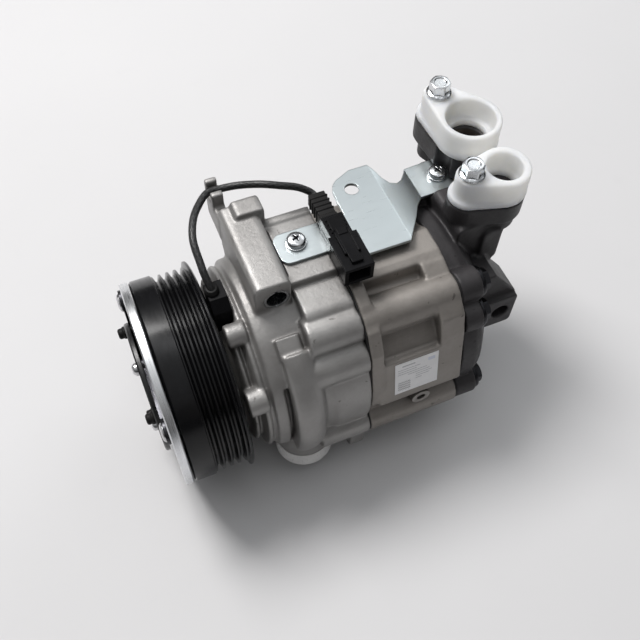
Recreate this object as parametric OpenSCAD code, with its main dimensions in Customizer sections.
// Belt-driven rotary vane air-conditioning compressor with an
// electromagnetic clutch. Stations below run along +X from the front face
// of the clutch armature to the rear; the finished part is shifted so that
// its origin is the shaft axis at the centre of the four-rib belt track.
// +Z is up, -Y is the side that carries the rating label.

/* [Clutch] */
// Outer radius of the armature ring
arm_r = 47.25; // [46:0.05:48]
// Thickness of the armature ring
arm_t = 3.83; // [3.5:0.01:4.2]
// Air gap between the armature and the pulley face, clutch off
air_gap = 0.4; // [0.3:0.05:0.5]
// Radius of the clutch hub plate
hub_r = 30; // [28:0.5:30.5]
// Radius of the circle of inner hub rivets
rivet_in_r = 17.3; // [16.5:0.1:18]
// Radius of the circle of outer armature rivets
rivet_out_r = 39.5; // [39:0.1:40]

/* [Pulley] */
// Pitch of the belt ribs
rib_pitch = 3.56; // [3.56:0.01:3.6]
// Station of the centre of the belt track
belt_x = 21.78; // [21.5:0.01:22]
// Radius over the rib tips
rib_tip_r = 46.2; // [45.8:0.1:46.6]
// Depth of the belt grooves
rib_depth = 2.7; // [2.4:0.1:2.8]
// Radius of the smooth land in front of the ribs
land_r = 47; // [46.5:0.1:47.4]
// Radius of the rear pulley flange
rear_flange_r = 48.57; // [48:0.01:49]
// Number of balls in each row of the pulley bearing
ball_n = 14; // [12:1:16]

/* [Front head] */
// Station of the joint between front head and casing
part_x = 87.5; // [87:0.1:88]
// Radius of the bowl of the front head
bowl_r = 45; // [44:0.5:46]
// Radius of the bolt hole in each mounting lug
lug_hole_r = 4.4; // [4.2:0.1:4.5]
// Height of the top of the mounting bar above the shaft
bar_top = 60; // [59:0.5:61]
// Radius of the lower boss
boss_r = 13.5; // [12:0.5:14]

/* [Casing] */
// Station of the joint between casing and rear head
rear_x = 133; // [132.5:0.1:133.5]
// Outer radius of the casing
case_r = 44; // [43.5:0.5:44.5]
// Bore radius of the casing
case_bore = 41; // [40.5:0.1:41]
// Radius of the circle of through bolts
bolt_circle = 45; // [44.5:0.5:45.5]

/* [Rear head] */
// Height of the port faces above the shaft
port_face_z = 60; // [59:0.5:61]
// Radius of the suction port
suction_r = 8; // [7.5:0.1:8.5]
// Radius of the discharge port
discharge_r = 6.5; // [6:0.1:6.8]

/* [Pump] */
// Radius of the rotor
rotor_r = 27; // [26.5:0.1:27.2]
// Lift of the cam above the rotor at its widest
cam_lift = 6; // [5:0.5:6.5]
// Thickness of each vane
vane_t = 3.2; // [3:0.1:3.6]
// Depth of each vane, measured along the radius
vane_h = 13; // [12:0.5:13.5]
// Angle of the first vane slot
vane_a0 = 9; // [5:1:13]

/* [Hidden] */

$fn = 96;
run_gap = 0.02;                   // clearance between moving fits
fit = 0.01;                       // seat clearance between pressed pieces
thirds = [0, 120, 240];           // angles of a three-fold pattern
pulley_x0 = arm_t + air_gap;      // friction face of the pulley
nose_r = 15;                      // outside of the nose tube
snap_seat_r = 14.1;               // inside of the snap rings on the nose
bearing_snap_x = [7.7, 8.9];      // stations of the two snap rings
coil_snap_x = [29.1, 30.4];
coil_lead = [3, 35.5];            // [y, z] of the coil lead hole
shaft_r = 8;
shaft_x0 = 5.5;                   // front end of the shaft
needle_r = 11;                    // outside of the needle bearings
seal_ring_x = [18.7, 19.8];
plate_x0 = 76;                    // front of the front side plate
plate_r = 40;
rotor_x0 = 88;                    // front and rear of the rotor and cam
rotor_x1 = 122;
rim_r = 46.4;                     // rear rim of the front head
bolt_angles = [34, 118, 196, 262, 322]; // through bolts, from +Z towards -Y
front_lug = [58, 49.5];           // lug bore axes, [x, z]
rear_lug = [164.3, 1.2];
front_lug_bore_r = 5.5;
bracket_z = 51.5;                 // underside of the bracket plate
bracket_t = 1.5;
tab_z = 46;                       // underside of its rear tab
front_screw = [75, 12];           // bracket screw axes, [x, y]
rear_screw = [151, 29];

// ---- helpers -------------------------------------------------------------
// Points named "at" hold the two coordinates across the cylinder's axis.
module home() { translate([-belt_x, 0, 0]) children(); }
module cyl_x(x0, x1, r, at = [0, 0]) {
  translate([x0, at[0], at[1]]) rotate([0, 90, 0]) cylinder(h = x1 - x0, r = r);
}
module cyl_y(y0, y1, r, at) {
  translate([at[0], y1, at[1]]) rotate([90, 0, 0]) cylinder(h = y1 - y0, r = r);
}
module cyl_z(z0, z1, r, at) {
  translate([at[0], at[1], z0]) cylinder(h = z1 - z0, r = r);
}
module box(x0, x1, y0, y1, z0, z1) {
  translate([x0, y0, z0]) cube([x1 - x0, y1 - y0, z1 - z0]);
}
module tube(x0, x1, outer_r, inner_r) {
  difference() {
    cyl_x(x0, x1, outer_r);
    cyl_x(x0 - 1, x1 + 1, inner_r);
  }
}
// tube with a slit at the given angle
module split_ring(span, outer_r, inner_r, angle) {
  difference() {
    tube(span[0], span[1], outer_r, inner_r);
    rotate([angle, 0, 0]) box(span[0] - 1, span[1] + 1, -2.5, 2.5, 0, outer_r + 2);
  }
}
// solid of revolution about X from [station, radius] points
module rev(points) {
  rotate([0, 90, 0]) rotate_extrude() polygon([for (p = points) [p[1], p[0]]]);
}
// [y, z] of a point at an angle from +Z towards -Y
function polar(angle, r) = [-sin(angle) * r, cos(angle) * r];
module at_polar(angle, r) {
  at = polar(angle, r);
  translate([0, at[0], at[1]]) children();
}
module sector(a0, a1, r) {
  polygon(concat([[0, 0]], [for (i = [0:8]) polar(a0 + (a1 - a0) * i / 8, r)]));
}
module arc_slot(inner_r, outer_r, a0, a1) {
  intersection() {
    difference() {
      circle(outer_r);
      circle(inner_r);
    }
    sector(a0, a1, outer_r + 3);
  }
}
module round_rect(x0, x1, y0, y1, r) {
  translate([x0 + r, y0]) square([x1 - x0 - 2 * r, y1 - y0]);
  translate([x0, y0 + r]) square([x1 - x0, y1 - y0 - 2 * r]);
  for (x = [x0 + r, x1 - r], y = [y0 + r, y1 - r]) translate([x, y]) circle(r);
}
// outlines drawn in the named plane, thickened along the third axis
module slab_xz(y0, y1) {
  translate([0, y1, 0]) rotate([90, 0, 0]) linear_extrude(y1 - y0) children();
}
module slab_yz(x0, x1) {
  translate([x0, 0, 0]) rotate([90, 0, 90]) linear_extrude(x1 - x0) children();
}
module slab_xy(z0, z1) { translate([0, 0, z0]) linear_extrude(z1 - z0) children(); }
// taut outline round two circles, as a point list
function taut_outline(c1, r1, c2, r2) =
  let (d = c2 - c1, lean = atan2(d[1], d[0]), wrap = acos((r1 - r2) / norm(d)))
  concat(
    [for (i = [0:36]) let (a = lean + wrap + (360 - 2 * wrap) * i / 36)
      c1 + r1 * [cos(a), sin(a)]],
    [for (i = [0:16]) let (a = lean - wrap + 2 * wrap * i / 16)
      c2 + r2 * [cos(a), sin(a)]]);
// capsule between two plane points
module capsule(start, end, r) {
  d = end - start;
  translate(start) circle(r);
  translate(end) circle(r);
  translate(start) rotate(atan2(d[1], d[0])) translate([0, -r]) square([norm(d), 2 * r]);
}
// one cylinder on each through-bolt axis
module bolt_cyls(x0, x1, r) {
  for (a = bolt_angles) cyl_x(x0, x1, r, polar(a, bolt_circle));
}

// ---- clutch --------------------------------------------------------------
hub_x0 = -3.4;                    // front and back of the hub plate
hub_x1 = -1.3;
rivet_shank_r = 2;                // shank of an armature rivet
stop_circle = 26.2;
stop_hole_r = 2.5;
centre_bolt_r = 3;

module clutch_centre_bolt() { color("silver") home() difference() {
  union() {
    rotate([0, 90, 0]) translate([0, 0, -2.8]) cylinder(h = 3.8, r = 5.77, $fn = 6);
    cyl_x(1, 2.5, 7.6);
    cyl_x(2.5, 20, centre_bolt_r);
  }
  cyl_x(-3.8, -2.2, 2.6);
} }

module clutch_hub() { color([0.06, 0.06, 0.065]) home() difference() {
  rev([[hub_x0, 9], [hub_x0, hub_r - 0.6], [hub_x0 + 0.6, hub_r], [hub_x1, hub_r],
    [hub_x1, 12.8], [2, 12.2], [4.5, 11], [16, 11], [16, shaft_r + run_gap],
    [5, shaft_r + run_gap], [5, 3.2], [2.5, 3.2], [2.5, 8.4], [-2.6, 8.4]]);
  for (a = thirds) {
    cyl_x(hub_x0 - 1, hub_x1 + 1, 1.62, polar(a, rivet_in_r));
    cyl_x(hub_x0 - 1, hub_x1 + 1, stop_hole_r, polar(a + 60, stop_circle));
    for (side = [-1, 1])
      cyl_x(hub_x0 - 1, hub_x1 + 1, 2.2, polar(a + side * 26, 22));
  }
} }

// outline of one leaf, from an inner rivet to an outer one
module leaf(angle) {
  inner = polar(angle, rivet_in_r);
  outer = polar(angle + 60, rivet_out_r);
  difference() {
    union() {
      capsule(inner, outer, 3);
      translate(inner) circle(4.2);
      translate(outer) circle(5.6);
    }
    translate(inner) circle(1.75);
    translate(outer) circle(rivet_shank_r + fit);
  }
}
module hub_leaf_springs() { color([0.09, 0.09, 0.1]) home()
  for (a = thirds) slab_yz(hub_x1 + fit, -fit) leaf(a);
}
module hub_rivets() { color("silver") home()
  for (a = thirds) at_polar(a, rivet_in_r)
    rev([[-6, 0], [-6, 1.7], [-5.4, 2.5], [-4.4, 2.8], [hub_x0 - fit, 2.8],
      [hub_x0 - fit, 1.6], [-0.1, 1.6], [-0.1, 0]]);
}
module armature_rivets() { color("silver") home()
  for (a = thirds) at_polar(a + 60, rivet_out_r)
    rev([[-2.9, 0], [-2.9, 2.9], [-2.4, 4], [-1.9, 4.25], [hub_x1, 4.25],
      [hub_x1, rivet_shank_r], [arm_t - 0.3, rivet_shank_r], [arm_t - 0.3, 0]]);
}
module rubber_stops() { color([0.03, 0.03, 0.03]) home()
  for (a = thirds) at_polar(a + 60, stop_circle)
    rev([[-7, 0], [-7, 1.9], [-6.4, 2.5], [-4.9, 2.5], [-4.5, 2.9], [hub_x0 - fit, 2.9],
      [hub_x0 - fit, stop_hole_r - fit], [-0.05, stop_hole_r - fit], [-0.05, 0]]);
}
module armature_plate() { color([0.75, 0.76, 0.78]) home() difference() {
  rev([[0, 31.5], [0, arm_r - 0.5], [0.5, arm_r], [arm_t - 0.4, arm_r],
    [arm_t, arm_r - 0.4], [arm_t, 31.5]]);
  for (a = thirds) {
    cyl_x(-1, arm_t + 1, rivet_shank_r + fit, polar(a + 60, rivet_out_r));
    // flux slots between the rivets
    slab_yz(-1, arm_t + 1) arc_slot(38, 39.4, a - 38, a + 38);
  }
} }
module air_gap_shim() { color("gainsboro") home() tube(5 + fit, shaft_x0, 7.8, 3.3); }

// ---- pulley and bearing --------------------------------------------------
pulley_x1 = 31.5;                 // rear face of the pulley
bearing_x = [9, 27];
bearing_r = 23.5;                 // outside of the pulley bearing
outer_race_bore = 21;
inner_race_r = 17.8;
row_x = [13.8, 22.2];             // stations of the ball rows
ball_r = 2.25;
ball_circle = 19.4;

// profile of one belt groove centred on a station
function groove(x) = [
  [x - rib_pitch / 2 + 0.35, rib_tip_r], [x - 0.45, rib_tip_r - rib_depth],
  [x + 0.45, rib_tip_r - rib_depth], [x + rib_pitch / 2 - 0.35, rib_tip_r]];
module pulley() { color([0.03, 0.03, 0.035]) home() difference() {
  rev(concat(
    [[pulley_x0, 28.5], [pulley_x0, land_r - 1], [pulley_x0 + 0.9, land_r],
      [belt_x - 2 * rib_pitch - 0.6, land_r], [belt_x - 2 * rib_pitch - 0.2, rib_tip_r]],
    [for (i = [-1.5:1.5], p = groove(belt_x + i * rib_pitch)) p],
    [[29.1, rib_tip_r], [29.9, rear_flange_r], [30.7, rear_flange_r],
      [31.2, rear_flange_r - 0.6], [pulley_x1, rear_flange_r - 1.6], [pulley_x1, 42.4],
      [30.5, 41.8], [10.5, 41.8], [10.5, 28.2], [28, 28.2], [28, 25.5],
      [27.2, bearing_r + fit], [8.5, bearing_r + fit], [8.5, 22.6],
      [pulley_x0 + 1.2, 22.6], [pulley_x0 + 1.2, 28.5]]));
  // curved slots that break the magnetic path, two rings of six
  for (a = [0:60:300]) {
    slab_yz(pulley_x0 - 1, 12) arc_slot(31.6, 33.4, a - 22, a + 22);
    slab_yz(pulley_x0 - 1, 12) arc_slot(36.6, 38.2, a + 8, a + 52);
  }
} }
module ball_track(x) {
  translate([x, 0, 0]) rotate([0, 90, 0]) rotate_extrude()
    translate([ball_circle, 0]) circle(ball_r + 0.03);
}
module race(outer_r, inner_r) {
  difference() {
    tube(bearing_x[0], bearing_x[1], outer_r, inner_r);
    ball_track(row_x[0]);
    ball_track(row_x[1]);
  }
}
module bearing_outer_race() { color("lightgray") home() race(bearing_r, outer_race_bore); }
module bearing_inner_race() { color("lightgray") home() race(inner_race_r, nose_r + fit); }
module bearing_balls() { color("white") home()
  for (x = row_x, k = [0:ball_n - 1])
    translate([x, 0, 0] + concat(0, polar(k * 360 / ball_n, ball_circle)))
      sphere(ball_r, $fn = 24);
}
module bearing_cage() { color("peru") home() difference() {
  for (x = row_x) tube(x - 3.2, x + 3.2, 20.15, 18.75, $fn = 60);
  for (x = row_x, k = [0:ball_n - 1])
    translate([x, 0, 0]) rotate([k * 360 / ball_n, 0, 0])
      cylinder(h = 24, r = ball_r + 0.06, $fn = 40);
} }
module bearing_seals() { color("saddlebrown") home()
  for (x = [9.3, 25.9]) tube(x, x + 0.8, outer_race_bore - fit, inner_race_r + 0.05);
}
module bearing_snap_ring() { color("dimgray") home()
  split_ring(bearing_snap_x, 17.4, snap_seat_r, 200);
}
module coil_snap_ring() { color("dimgray") home()
  split_ring(coil_snap_x, 18, snap_seat_r, 160);
}
module coil_housing() { color([0.2, 0.2, 0.21]) home() difference() {
  rev([[11.4, 29.2], [11.4, 30.6], [30.5, 30.6], [30.5, 39.6], [11.4, 39.6],
    [11.4, 41.1], [30.9, 41.1], [32.4, 40], [32.4, nose_r + fit],
    [30.5, nose_r + fit], [30.5, 28.4], [29.5, 29.2]]);
  cyl_x(29, 34, 2.6, coil_lead);
} }
module coil_winding() { color([0.65, 0.3, 0.12]) home() tube(12.6, 30.4, 39.5, 30.7); }
module coil_lead_block() { color([0.04, 0.04, 0.045]) home() {
  slab_yz(32.5, 40) polygon([[-5, 33], [7, 33], [11, 45], [9, 49], [0, 49], [-4, 44]]);
  cyl_x(30.6, 32.6, 2.5, coil_lead);
} }

// ---- wiring --------------------------------------------------------------
cable_r = 1.65;
// [x, y, z] points on the cable axis, from the coil lead block to the connector
cable_pts = [[34.8, 4.5, 49.02], [34.8, 4.6, 51], [33.9, 8.5, 55.2], [33.8, 13, 57.6],
  [34.2, 23, 61], [37.5, 33, 61.5], [42.5, 41, 60.6], [48, 46.2, 60.2],
  [54.5, 46.3, 60.1], [61.5, 44.5, 61], [69.5, 39.5, 63.5], [77, 35.6, 63.6],
  [84, 33.8, 61.6], [88.6, 31.9, 59.2], [90.3, 30.2, 58.1], [90.4, 28.52, 58]];
// Catmull-Rom spline between b and c
function spline(a, b, c, d, t) = 0.5 * (2 * b + (c - a) * t
  + (2 * a - 5 * b + 4 * c - d) * t * t + (3 * b - a - 3 * c + d) * t * t * t);
cable_last = len(cable_pts) - 1;
cable_path = concat(
  [for (i = [0:cable_last - 1], q = [0:3])
    spline(cable_pts[max(i - 1, 0)], cable_pts[i], cable_pts[i + 1],
      cable_pts[min(i + 2, cable_last)], q / 4)],
  [cable_pts[cable_last]]);
path_n = len(cable_path);
function tangent(i) = i == 0 ? [0, 0, 1] : i == path_n - 1 ? [0, -1, 0]
  : let (d = cable_path[i + 1] - cable_path[i - 1]) d / norm(d);
cable_ref = [-0.6, -0.4, 0.7];    // never parallel to the cable
// the cable: one closed sweep, twelve-sided
module lead_cable() { color([0.02, 0.02, 0.02]) home() polyhedron(
  points = [for (i = [0:path_n - 1])
    let (t = tangent(i), side = cross(t, cable_ref), u = side / norm(side), v = cross(t, u))
    for (j = [0:11]) cable_path[i] + cable_r * (u * cos(j * 30) + v * sin(j * 30))],
  faces = concat([[for (j = [0:11]) j]], [[for (j = [11:-1:0]) (path_n - 1) * 12 + j]],
    [for (i = [0:path_n - 2], j = [0:11])
      [i * 12 + j, (i + 1) * 12 + j, (i + 1) * 12 + (j + 1) % 12]],
    [for (i = [0:path_n - 2], j = [0:11])
      [i * 12 + j, (i + 1) * 12 + (j + 1) % 12, i * 12 + (j + 1) % 12]]));
}
module lead_connector() { color([0.03, 0.03, 0.035]) home() {
  slab_yz(87, 94.5) round_rect(13, 28.5, 54.6, 61, 1.5);
  slab_yz(86.5, 96.5) round_rect(2, 14, bracket_z + bracket_t + fit, 62.5, 1);
  slab_yz(85, 98) round_rect(-16.5, 2, 53.1, 63, 1);
  slab_yz(89, 94) round_rect(-14, 5, 62, 64.5, 0.8);
} }

// ---- front head ----------------------------------------------------------
// frame of the lower boss, tilted about X
module boss_frame() { translate([60, -33, -43]) rotate([-4, 0, 0]) children(); }
// length of the tapered lower boss between heights h0 and h1, its radius grown
module boss(h0, h1, grow) {
  boss_frame() translate([0, 0, h0]) cylinder(h = h1 - h0,
    r1 = boss_r - 2.5 * h0 / 40 + grow, r2 = boss_r - 2.5 * h1 / 40 + grow);
}
module snap_groove(span) {
  rev([[span[0], snap_seat_r - fit], [span[0], 16], [span[1], 16],
    [span[1], snap_seat_r - fit]]);
}
module front_head() { color([0.72, 0.71, 0.69]) home() difference() {
  union() {
    // nose tube and stepped neck
    rev([[7, 0], [7, nose_r - 0.6], [7.6, nose_r], [32.5, nose_r], [32.5, 33],
      [34.5, 34.5], [36, 38.5], [37.4, 38.8], [38.2, 36.6], [39.2, 37], [40.4, 42.6],
      [42, 43.2], [42.8, 41.6], [43.6, 42], [45, 44.6], [48.5, bowl_r],
      [part_x, bowl_r], [part_x, 0]]);
    // rear rim with bolt lobes
    bolt_cyls(64, part_x, 8.5);
    rev([[70, 0], [70, bowl_r], [72, rim_r - 0.4], [75, rim_r], [part_x - 1, rim_r],
      [part_x, rim_r - 0.5], [part_x, 0]]);
    // mounting bar across the top
    slab_xz(-10, 36) round_rect(48.5, 64.5, 34, bar_top, 3);
    box(48.5, 64.5, -4, 34, 20, 50);
    // ear at the +Y end of the bar
    slab_xz(27, 36) round_rect(54, 67, 40, bar_top + 2.5, 2);
    // platform under the bracket
    box(62, part_x, -6, 28, 25, bracket_z - fit);
    box(64, part_x, 26, 30, 25, 52.5);
    // upper lobes on the label side
    slab_yz(66, part_x) round_rect(-24, -2, 20, 48, 6);
    cyl_x(63, part_x, 9.5, polar(52, 41));
    // lower boss and the rounded rib that runs down to it
    boss(0, 47, 0);
    intersection() {
      rev([[52, 40], [52, 49.6], [53, 50.8], [55.5, 51.6], [58.5, 51.7], [61.5, 51],
        [64, 49.4], [66, 46.6], [67, 44], [67, 40]]);
      slab_yz(50, 70) sector(38, 118, 60);
    }
    intersection() {
      rev([[51.5, 40], [51.5, 49.2], [61, 49.2], [62, 48.2], [62, 40]]);
      slab_yz(50, 70) sector(29, 40, 60);
    }
    // cable clip at the +Y end of the bar
    box(48, 53.4, 34, 52, 42, 56);
    box(48, 53.4, 40.5, 43.6, 50, 63);
    box(48, 53.4, 49, 52, 50, 63);
    // bosses behind the pulley
    cyl_x(34, 42.4, 5, polar(18, 41));
    cyl_x(34, 42.4, 6, polar(60, 41));
    cyl_x(34, 42.4, 5, polar(200, 41));
    // lower flange
    slab_yz(80, part_x) round_rect(-44, -26, -46, -20, 5);
  }
  // bore for hub, seal and front bearing
  cyl_x(6, 30, 11.6);
  rev([[seal_ring_x[0] - 0.1, 0], [seal_ring_x[0] - 0.1, 12.6],
    [seal_ring_x[1] + 0.1, 12.6], [seal_ring_x[1] + 0.1, 0]]);
  cyl_x(28, 44, needle_r + fit);
  cyl_x(43, 80, 9.2);
  snap_groove(bearing_snap_x);
  snap_groove(coil_snap_x);
  // groove along the front of the rib
  intersection() {
    rev([[49.9, 41], [49.9, 49], [51.98, 49], [51.98, 41]]);
    slab_yz(49, 53) sector(56, 115, 60);
  }
  // inner chamber and seat for the front side plate
  rev([[50, 14], [50, 33], [55, 37], [plate_x0, 37], [plate_x0, 14]]);
  cyl_x(plate_x0 - 1, part_x + 1, plate_r + fit);
  // front mounting bore
  cyl_y(-12, 38, front_lug_bore_r, front_lug);
  // through-bolt threads
  bolt_cyls(70, part_x + 1, 3);
  // screw hole under the bracket, relief for the coil lead block
  cyl_z(38, 52, 2, front_screw);
  box(31.5, 40.15, -5.4, 11.4, 32.7, 60);
  // pocket behind the bar
  box(64.5, 66.2, -2, 24, 47, 56);
} }
module mounting_sleeves() { color([0.82, 0.82, 0.8]) home() difference() {
  union() {
    cyl_y(-9.5, 4, front_lug_bore_r - fit, front_lug);
    cyl_y(24, 35.5, front_lug_bore_r - fit, front_lug);
  }
  cyl_y(-12, 38, lug_hole_r, front_lug);
  // slit along the top
  box(front_lug[0] - 0.6, front_lug[0] + 0.6, -12, 38, front_lug[1], front_lug[1] + 8);
} }

// ---- shaft and seal ------------------------------------------------------
module shaft() { color("silver") home() difference() {
  rev([[shaft_x0 + fit, 0], [shaft_x0 + fit, shaft_r - 0.6], [6.1, shaft_r],
    [132.2, shaft_r], [132.2, 0]]);
  cyl_x(5, 21, centre_bolt_r + fit);
} }
module shaft_seal() { color([0.05, 0.05, 0.05]) home()
  tube(20.2, 27.6, 11.58, shaft_r + 0.05);
}
module seal_retaining_ring() { color("dimgray") home()
  split_ring(seal_ring_x, 12.5, 9.4, 30);
}
module front_needle_bearing() { color("lightgray") home()
  tube(30.5, 42.5, needle_r, shaft_r + 0.05);
}
module rear_needle_bearing() { color("lightgray") home()
  tube(123.5, 131, needle_r, shaft_r + 0.05);
}

// ---- pump ----------------------------------------------------------------
reed_flat_z = 36.6;               // height of the flats that seat the reeds
reed_tip_x = 91.5;
reed_root_x = 114.6;              // line about which each reed lifts
reed_hole_x = [96, 104];          // discharge holes under each reed
reed_screw_at = [117.6, 0];
reed_screw_r = 1.25;

function cam_r(t) = rotor_r + 0.08 + cam_lift * (1 - cos(2 * t)) / 2;
module plate_holes(x0, x1) { for (a = thirds) cyl_x(x0, x1, 2.1, polar(a, 36)); }
// the upper piece and its copy turned half way round the shaft
module upper_and_lower() { for (a = [0, 180]) rotate([a, 0, 0]) children(); }
module front_side_plate() { color("gainsboro") home() difference() {
  cyl_x(plate_x0 + fit, rotor_x0 - fit, plate_r);
  cyl_x(75, 90, 9);
  for (a = [0, 180]) slab_yz(75, 90) arc_slot(28.4, 31, a + 20, a + 62);
  plate_holes(75, 90);
} }
module rear_side_plate() { color("gainsboro") home() difference() {
  cyl_x(rotor_x1 + fit, 132, plate_r);
  cyl_x(121, 133.5, needle_r + fit);
  plate_holes(121, 134);
} }
module cam_ring() { color([0.5, 0.5, 0.52]) home() difference() {
  cyl_x(rotor_x0, rotor_x1, 39.5);
  slab_yz(rotor_x0 - 1, rotor_x1 + 1)
    polygon([for (t = [0:3:357]) cam_r(t) * [cos(t + 45), sin(t + 45)]]);
  // flats, radial discharge holes under the reeds, and screw holes
  upper_and_lower() {
    box(rotor_x0 - 1, rotor_x1 + 1, -9, 9, reed_flat_z, 42);
    for (x = reed_hole_x) cyl_z(20, 42, 2, [x, 0]);
    cyl_z(32.6, 42, reed_screw_r + fit, reed_screw_at);
  }
} }
module rotor() { color([0.55, 0.56, 0.58]) home() difference() {
  cyl_x(rotor_x0 + run_gap, rotor_x1 - run_gap, rotor_r);
  cyl_x(rotor_x0 - 1, rotor_x1 + 1, shaft_r + fit);
  for (k = [0:4]) rotate([vane_a0 + k * 72, 0, 0])
    box(rotor_x0 - 1, rotor_x1 + 1, -vane_t / 2 - run_gap, vane_t / 2 + run_gap,
      rotor_r - vane_h - 0.6, rotor_r + 2);
} }
module vane(k) { color([0.35, 0.35, 0.37]) home() rotate([vane_a0 + k * 72, 0, 0])
  slab_yz(rotor_x0 + 0.04, rotor_x1 - 0.04) intersection() {
    translate([-vane_t / 2, rotor_r - vane_h - 0.4]) square([vane_t, vane_h + 0.2]);
    circle(rotor_r - 0.05);
  }
}
module vane_1() { vane(0); }
module vane_2() { vane(1); }
module vane_3() { vane(2); }
module vane_4() { vane(3); }
module vane_5() { vane(4); }
module reed() {
  slab_xy(reed_flat_z + 0.02, reed_flat_z + 0.32) difference() {
    union() {
      translate([reed_tip_x, -2.6]) square([reed_root_x - reed_tip_x, 5.2]);
      for (x = reed_hole_x) translate([x, 0]) circle(3.4);
    }
    translate([111, 0]) circle(1.2);
  }
}
module reed_upper() { color("lightsteelblue") home() reed(); }
module reed_lower() { color("lightsteelblue") home() rotate([180, 0, 0]) reed(); }
module reed_stoppers() { color("gray") home() upper_and_lower() difference() {
  slab_xz(-3, 3) polygon([[reed_tip_x, 38.3], [113, 37.15], [reed_root_x + 0.1, 37],
    [reed_root_x + 0.1, reed_flat_z + fit], [120.5, reed_flat_z + fit], [120.5, 38.1],
    [113.2, 38.1], [reed_tip_x, 39.2]]);
  cyl_z(30, 42, 1.4, reed_screw_at);
} }
module reed_screws() { color("silver") home() upper_and_lower() {
  cyl_z(32.8, 38.5, reed_screw_r, reed_screw_at);
  cyl_z(38.1 + fit, 39.2, 2.2, reed_screw_at);
} }

// ---- casing --------------------------------------------------------------
case_x0 = part_x + 0.6;           // the gaskets fill the gaps at the two joints
case_x1 = rear_x - 0.5;
bolt_hole_r = 3.3;
flat_top = [-41.55, 22];          // [y, z] ends of the flat for the label
flat_foot = [-46.6, -4];
plug_at = [113, -10];             // [x, z]

module casing() { color([0.68, 0.67, 0.65]) home() difference() {
  union() {
    cyl_x(case_x0, case_x1, case_r);
    bolt_cyls(case_x0, case_x1, 8.5);
    // top slab beside the bracket
    slab_yz(case_x0, case_x1)
      polygon([[-15, 38], [-13.5, 47.3], [-10, 48.4], [2, 48.4], [8, 44], [8, 38]]);
    // front flange and rear flange
    slab_yz(case_x0, 94) polygon([[4, 30], [4, 47.6], [-10, 50.5], [-17, 50], [-25, 47],
      [-35, 40.5], [-40.5, 30], [-44.5, 10], [-45.6, -4], [-30, -8]]);
    slab_yz(121, case_x1) polygon([[4, 30], [4, 45.6], [0, 46], [-10, 47.4], [-15, 47.2],
      [-22, 44.5], [-30, 44], [-38, 36], [-40.8, 26.5], [-46.2, -3], [-44, -8],
      [-30, -8]]);
    // label land
    slab_yz(92, case_x1)
      polygon([[-30, 22], flat_top, flat_foot, [-44.6, -9], [-30, -9]]);
    // lower flange
    slab_yz(case_x0, 128) polygon([[-30, -20], [-42, -14], [-45, -24], [-41, -39],
      [-36, -42], [-22, -38]]);
    // ridge on the upper +Y side
    slab_yz(case_x0, case_x1) polygon([[20, 30], [24, 44], [30, 44], [40, 30]]);
  }
  cyl_x(part_x - 1, rear_x + 1, case_bore);
  bolt_cyls(part_x - 1, rear_x + 1, bolt_hole_r);
  // flat for the rating label
  slab_yz(96, 125) polygon([[-60, flat_top[1]], flat_top, flat_foot, [-60, flat_foot[1]]]);
  cyl_y(-52, -41.5, 4.51, plug_at);
} }
module casing_gasket() { color([0.03, 0.03, 0.03]) home() difference() {
  union() {
    cyl_x(part_x + fit, case_x0 - fit, case_r - 0.6);
    bolt_cyls(part_x + fit, case_x0 - fit, 8);
    slab_yz(part_x + fit, case_x0 - fit) polygon([[3, 30], [3, 46.6], [-10, 49.4],
      [-16.6, 49], [-24.4, 46], [-34.3, 39.6], [-39.6, 29.6], [-43.4, 10], [-44.4, -2],
      [-30, -6]]);
  }
  cyl_x(part_x - 1, part_x + 1, case_bore);
  bolt_cyls(part_x - 1, part_x + 1, bolt_hole_r);
} }
module casing_plug() { color([0.42, 0.41, 0.4]) home() difference() {
  cyl_y(-46.8, -41.6, 4.5, plug_at);
  cyl_y(-47.5, -45.4, 2.2, plug_at);
} }

// ---- rear head -----------------------------------------------------------
suction = [166.2, 33.3];          // port axes, [x, y]
discharge = [165.6, 2.1];
suction_bolt = [159.8, 52.1];     // cap bolt axes, [x, y]
discharge_bolt = [150, 3];
bolt_seat_x = 143.7;              // seats of the through bolts
cover_seat_x = 141.5;             // seat of the cover bolt
cover_at = polar(51, 43.5);
bolt_recess_r = 7.4;
cap_top = port_face_z + 13.8;     // top of the shipping caps
valve_r = 7.4;                    // bore that holds the check valve

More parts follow.
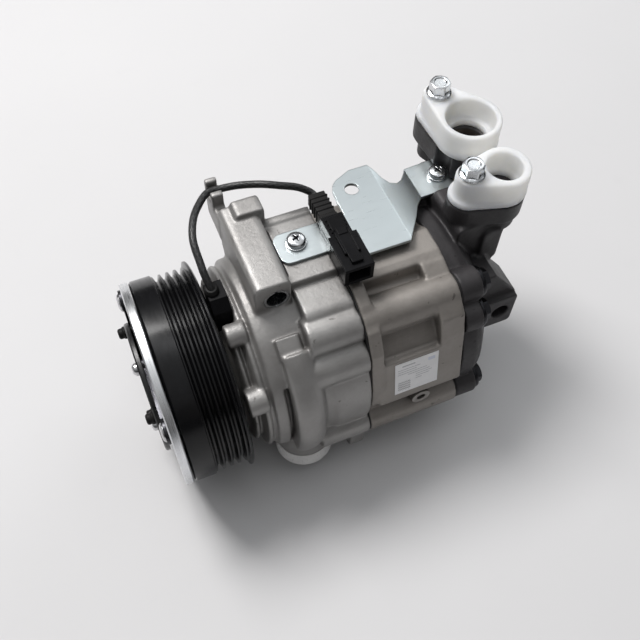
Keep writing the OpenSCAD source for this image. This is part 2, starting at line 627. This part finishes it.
module rear_head() { color([0.2, 0.2, 0.205]) home() difference() {
  union() {
    rev([[rear_x, 0], [rear_x, 44.5], [140, 44.5], [143.5, 43], [146.5, 39], [150, 34],
      [153, 28], [154.6, 22], [154.6, 0]]);
    bolt_cyls(rear_x, bolt_seat_x, 8);
    // short lobe for the cover bolt
    cyl_x(rear_x, cover_seat_x, 7.5, cover_at);
    // column that carries the ports
    slab_xz(-7, 18.5) round_rect(143, 160.5, 10, 50.5, 3);
    slab_xz(-9, 10) round_rect(155.5, 165.5, 24, 46, 4);
    box(143, 160, 16, 38, 20, tab_z - fit);
    // suction boss and flange
    cyl_z(20, port_face_z, 12.5, suction);
    slab_xz(20, 42) round_rect(147, 166, 10, 44, 4);
    slab_xy(48, port_face_z) polygon(taut_outline(suction, 14.2, suction_bolt, 8.9));
    slab_xy(40, 49) polygon(taut_outline(suction, 7, suction_bolt - [1, 3], 6.4));
    // discharge boss and flange
    cyl_z(42.5, port_face_z, 10, discharge);
    slab_xy(49.2, port_face_z)
      polygon(taut_outline(discharge, 11.6, discharge_bolt, 8.4));
    // rear lug arm
    slab_xz(-25, -12) round_rect(153.5, 172, -9.5, 12, 2);
    slab_xz(-22, -6)
      polygon([[146, 30], [158, 30], [172, 11.6], [172, -7.5], [146, -14]]);
  }
  // discharge chamber
  cyl_x(rear_x - 1, 147, 34);
  // port bores and their passages
  cyl_z(55, port_face_z + 1, suction_r, suction);
  cyl_z(30, 56, valve_r, suction);
  cyl_z(46, port_face_z + 1, discharge_r, discharge);
  // cap bolt threads
  cyl_z(44, port_face_z + 1, 3, suction_bolt);
  cyl_z(44, port_face_z + 1, 3, discharge_bolt);
  // rear lug bore
  cyl_y(-27, -4, lug_hole_r, rear_lug);
  // bolt holes and room for the bolt heads
  bolt_cyls(rear_x - 1, bolt_seat_x + 1, bolt_hole_r);
  bolt_cyls(bolt_seat_x, 162, bolt_recess_r);
  cyl_x(rear_x + 2, 143, 3, cover_at);
  cyl_x(cover_seat_x, 162, bolt_recess_r, cover_at);
  cyl_z(34, 47, 2, rear_screw);
  // seat for the bracket tab and room for its screw head
  box(137, 157.4, 19, 39, tab_z - fit, tab_z + bracket_t + 0.3);
  cyl_z(tab_z, 64, 5.3, rear_screw);
  // discharge passage, drilled up from the chamber to the foot of the port bore
  translate([143, discharge[1], 29.6]) rotate([0, 49, 0]) cylinder(h = 28.1, r = 3);
} }
module rear_head_gasket() { color([0.03, 0.03, 0.03]) home() difference() {
  union() {
    cyl_x(case_x1 + fit, rear_x - fit, 43.6);
    bolt_cyls(case_x1 + fit, rear_x - fit, 8);
  }
  cyl_x(rear_x - 2, rear_x + 1, case_bore);
  bolt_cyls(rear_x - 2, rear_x + 1, bolt_hole_r);
} }
// shank from x0, round flange on the seat, hexagon head behind it
module flange_bolt(x0, seat_x, flange_t) {
  cyl_x(x0, seat_x + 0.02, 2.98);
  cyl_x(seat_x + fit, seat_x + flange_t, 7);
  rotate([0, 90, 0]) translate([0, 0, seat_x + flange_t - 0.1])
    cylinder(h = 3, r = 5.2, $fn = 6);
}
module through_bolts() { color([0.05, 0.05, 0.055]) home()
  for (a = bolt_angles) at_polar(a, bolt_circle) flange_bolt(71, bolt_seat_x, 2.3);
}
module cover_bolt() { color([0.05, 0.05, 0.055]) home()
  translate([0, cover_at[0], cover_at[1]]) flange_bolt(rear_x + 3, cover_seat_x, 2);
}
module port_cap(port, bolt, port_end_r, bolt_end_r, hole_r, cup_r) {
  foot = port_face_z + fit;
  over = port_face_z + 20;
  difference() {
    union() {
      slab_xy(foot, cap_top) polygon(taut_outline(port, port_end_r, bolt, bolt_end_r));
      // lip that sits on the port flange
      slab_xy(foot, port_face_z + 3.2)
        polygon(taut_outline(port, port_end_r + 0.35, bolt, bolt_end_r + 1.7));
    }
    // cup, floor hole and bolt hole
    cyl_z(port_face_z + 4, over, cup_r, port);
    cyl_z(port_face_z - 1, over, hole_r, port);
    cyl_z(port_face_z - 1, over, 3.2, bolt);
  }
}
module suction_port_cap() { color([0.86, 0.86, 0.84, 0.9]) home()
  port_cap(suction, suction_bolt, 14, 7, suction_r + 0.6, 11.3);
}
module discharge_port_cap() { color([0.86, 0.86, 0.84, 0.9]) home()
  port_cap(discharge, discharge_bolt, 11.4, 6.6, discharge_r + 0.6, 7.8);
}
module cap_bolts() { color("gainsboro") home()
  for (at = [suction_bolt, discharge_bolt]) {
    cyl_z(46, cap_top + 0.1, 2.98, at);
    cyl_z(cap_top + fit, cap_top + 1.3, 5.7, at);
    translate([at[0], at[1], cap_top + 1.2]) cylinder(h = 5, r = 4.75, $fn = 6);
  }
}
// suction check valve
module check_valve_seat() { color("goldenrod") home() difference() {
  cyl_z(52, 55, valve_r - fit, suction);
  cyl_z(50, 57, 5, suction);
} }
module check_valve_poppet() { color([0.85, 0.85, 0.8]) home() union() {
  cyl_z(50, 52 - fit, 6.6, suction);
  cyl_z(45, 51, 2.4, suction);
} }
// the spring is a plain sleeve
module check_valve_spring() { color("silver") home() difference() {
  cyl_z(30 + fit, 50 - fit, 4.6, suction);
  cyl_z(29, 51, 3.8, suction);
} }

// ---- bracket and labels --------------------------------------------------
module wiring_bracket() { color([0.62, 0.66, 0.68]) home() difference() {
  union() {
    slab_xy(bracket_z, bracket_z + bracket_t) {
      translate([100, -4.6]) square([21.2, 32]);
      translate([109, 31]) circle(8.6);
      polygon([[100, 26], [100.6, 32.5], [104, 38], [112, 41.8], [121.2, 41.8], [121.2, 20]]);
      // front tongue
      translate([70, 3]) square([31, 16]);
      translate([70, 7]) circle(4);
      translate([70, 15]) circle(4);
      translate([66, 7]) square([5, 8]);
    }
    // slope down to the rear tab, narrowed by rounded notches
    intersection() {
      slab_xz(-10, 50) polygon([[121.1, bracket_z], [121.1, bracket_z + bracket_t],
        [121.6, bracket_z + bracket_t], [138.4, tab_z + bracket_t], [138.4, tab_z],
        [138, tab_z]]);
      slab_xy(40, 60) polygon([[121, -4.6], [125, 1], [130, 8], [134, 14.5],
        [138.6, 19.4], [138.6, 37.5], [136.5, 34.5], [133.5, 30.8], [130.5, 29],
        [127, 29.5], [124.5, 33], [123, 38], [121, 41.8]]);
    }
    slab_xy(tab_z, tab_z + bracket_t) polygon([[138.3, 19.4], [138.3, 37.5],
      [154, 38.5], [157, 35.5], [157, 23], [154.5, 19.4]]);
  }
  cyl_z(45, 60, 3.3, [109, 31]);
  cyl_z(40, 60, 2.75, front_screw);
  cyl_z(40, 60, 2.75, rear_screw);
} }
// cross-recessed screw with its head on the height z
module bracket_screw(at, z) {
  difference() {
    union() {
      cyl_z(z - 6.2, z + 1, 1.98, at);
      cyl_z(z + fit, z + 0.8, 4.6, at);
      cyl_z(z + 0.8, z + 3.6, 4.1, at);
    }
    translate([at[0], at[1], z + 3.2]) {
      cube([4.6, 0.9, 3], center = true);
      cube([0.9, 4.6, 3], center = true);
    }
  }
}
module bracket_screws() { color("gainsboro") home() {
  bracket_screw(front_screw, bracket_z + bracket_t);
  bracket_screw(rear_screw, tab_z + bracket_t);
} }
module rating_label() { color("white") home() slab_yz(99, 120)
  polygon([[-45.81, 0.2], [-45.99, 0.24], [-42.11, 20.2], [-41.93, 20.16]]);
}
module boss_label() { color("whitesmoke") home() difference() {
  boss(1.6, 9.4, 0.3);
  boss(0.6, 10.4, 0.03);
  boss_frame() translate([-30, 3, 0]) cube([60, 30, 12]);
  // clear of the bowl, the rim and the bolt lobe above the boss
  cyl_x(40, 90, bowl_r + 0.1);
  cyl_x(69.8, 90, rim_r + 0.1);
  bolt_cyls(60, 90, 8.6);
} }

clutch_centre_bolt();
clutch_hub();
hub_leaf_springs();
hub_rivets();
armature_rivets();
rubber_stops();
armature_plate();
air_gap_shim();
pulley();
bearing_outer_race();
bearing_inner_race();
bearing_balls();
bearing_cage();
bearing_seals();
bearing_snap_ring();
coil_housing();
coil_winding();
coil_snap_ring();
coil_lead_block();
lead_cable();
lead_connector();
front_head();
mounting_sleeves();
shaft();
shaft_seal();
seal_retaining_ring();
front_needle_bearing();
rear_needle_bearing();
front_side_plate();
rear_side_plate();
cam_ring();
rotor();
vane_1();
vane_2();
vane_3();
vane_4();
vane_5();
reed_upper();
reed_lower();
reed_stoppers();
reed_screws();
casing();
casing_gasket();
rear_head();
rear_head_gasket();
through_bolts();
cover_bolt();
suction_port_cap();
discharge_port_cap();
cap_bolts();
check_valve_seat();
check_valve_poppet();
check_valve_spring();
wiring_bracket();
bracket_screws();
casing_plug();
rating_label();
boss_label();
